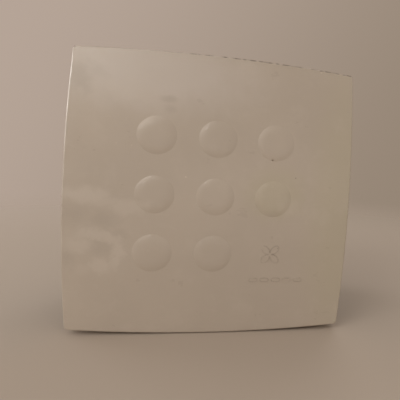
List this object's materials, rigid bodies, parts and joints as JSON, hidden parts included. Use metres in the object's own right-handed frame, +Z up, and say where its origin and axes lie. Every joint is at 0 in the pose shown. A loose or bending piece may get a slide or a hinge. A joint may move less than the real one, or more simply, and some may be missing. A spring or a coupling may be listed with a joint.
{
  "type": "bathroom extractor fan",
  "caption": "Recessed bathroom extractor fan: square crowned cover with round bumps, filter, centrifugal blower, shaded-pole motor and duct spigot with back-draught flap.",
  "frame": {"origin": "centre of the recess mouth, in the plane of the wall's face, where the box's flange sits", "axes": "+X to the right and +Z up as seen from the room, +Y into the wall; the cover faces -Y"},
  "size_m": [0.228, 0.1408, 0.236],
  "materials": {
    "cover_plastic": "aged satin moulded ABS",
    "frame_plastic": "fine matt moulding",
    "box_plastic": "matt flame-retardant moulding",
    "spigot_plastic": "matt moulding",
    "flap_plastic": "thin translucent moulding",
    "deck_plastic": "matt moulding",
    "impeller_plastic": "matt glass-filled moulding",
    "filter_fibre": "bonded polyester fibre",
    "foam": "closed-cell foam",
    "rubber": "soft black rubber",
    "zinc_screw": "zinc-plated",
    "shaft_steel": "ground",
    "bearing_steel": "polished",
    "lamination": "stamped electrical sheet",
    "cage_aluminium": "die-cast",
    "bracket_alloy": "die-cast",
    "plate_steel": "galvanised",
    "copper_wire": "enamelled copper",
    "copper_bar": "bare copper",
    "bobbin_nylon": "natural nylon",
    "terminal_plastic": "polyamide",
    "terminal_brass": "machined",
    "lead_brown": "PVC insulation",
    "lead_blue": "PVC insulation"
  },
  "bodies": {
    "casing": {"intake_frame": "frame_plastic", "intake_frame_screws": "zinc_screw", "recess_box": "box_plastic", "cable_grommet": "rubber", "outlet_spigot": "spigot_plastic", "spigot_screws": "zinc_screw", "flap_pin": "shaft_steel", "outlet_gasket": "foam", "inlet_deck": "deck_plastic", "deck_screws": "zinc_screw", "volute_housing": "deck_plastic", "volute_screws": "zinc_screw", "front_bearing_outer": "bearing_steel", "rear_bearing_outer": "bearing_steel", "stator_core": "lamination", "shading_rings": "copper_bar", "coil_bobbins": "bobbin_nylon", "stator_coils": "copper_wire", "front_motor_bracket": "bracket_alloy", "rear_motor_bracket": "bracket_alloy", "motor_plate": "plate_steel", "motor_bushes": "rubber", "motor_bush_screws": "zinc_screw", "motor_bolts": "zinc_screw", "motor_nuts": "zinc_screw", "terminal_block": "terminal_plastic", "terminal_clamps": "terminal_brass", "terminal_screws": "zinc_screw", "terminal_block_screws": "zinc_screw", "cable_clamp": "terminal_plastic", "cable_clamp_screws": "zinc_screw", "lead_grommet": "rubber", "motor_lead_live": "lead_brown", "motor_lead_neutral": "lead_blue"},
    "cover": {"front_cover": "cover_plastic"},
    "filter": {"filter_frame": "frame_plastic", "filter_mat": "filter_fibre"},
    "rotor": {"impeller": "impeller_plastic", "hub_washer": "zinc_screw", "hub_nut": "zinc_screw", "motor_shaft": "shaft_steel", "shaft_spacers": "shaft_steel", "rotor_core": "lamination", "rotor_cage": "cage_aluminium", "front_bearing_inner": "bearing_steel", "rear_bearing_inner": "bearing_steel"},
    "front_cage": {"front_bearing_balls": "bearing_steel"},
    "rear_cage": {"rear_bearing_balls": "bearing_steel"},
    "flap_right": {"flap_leaf_right": "flap_plastic"},
    "flap_left": {"flap_leaf_left": "flap_plastic"}
  },
  "joints": [
    {"name": "impeller_spin", "type": "hinge", "parent": "casing", "child": "rotor", "pos_m": [-0.009, 0, -0.003], "axis": [0, 1, 0], "continuous": true},
    {"name": "front_cage_spin", "type": "hinge", "parent": "casing", "child": "front_cage", "pos_m": [-0.009, 0.055, -0.003], "axis": [0, 1, 0], "continuous": true},
    {"name": "rear_cage_spin", "type": "hinge", "parent": "casing", "child": "rear_cage", "pos_m": [-0.009, 0.101, -0.003], "axis": [0, 1, 0], "continuous": true},
    {"name": "flap_right_swing", "type": "hinge", "parent": "casing", "child": "flap_right", "pos_m": [0.046, 0.057, 0.1079], "axis": [0, -1, 0], "range_deg": [0, 80]},
    {"name": "flap_left_swing", "type": "hinge", "parent": "casing", "child": "flap_left", "pos_m": [0.046, 0.057, 0.1079], "axis": [0, 1, 0], "range_deg": [0, 80]},
    {"name": "cover_pull", "type": "slide", "parent": "casing", "child": "cover", "axis": [0, -1, 0], "range_m": [0, 0.08]},
    {"name": "filter_pull", "type": "slide", "parent": "casing", "child": "filter", "axis": [0, -1, 0], "range_m": [0, 0.04]}
  ],
  "couplings": [
    {"joint": "front_cage_spin", "follows": "impeller_spin", "ratio": 0.36111},
    {"joint": "rear_cage_spin", "follows": "impeller_spin", "ratio": 0.36111},
    {"joint": "filter_pull", "follows": "cover_pull", "ratio": 0.5}
  ]
}
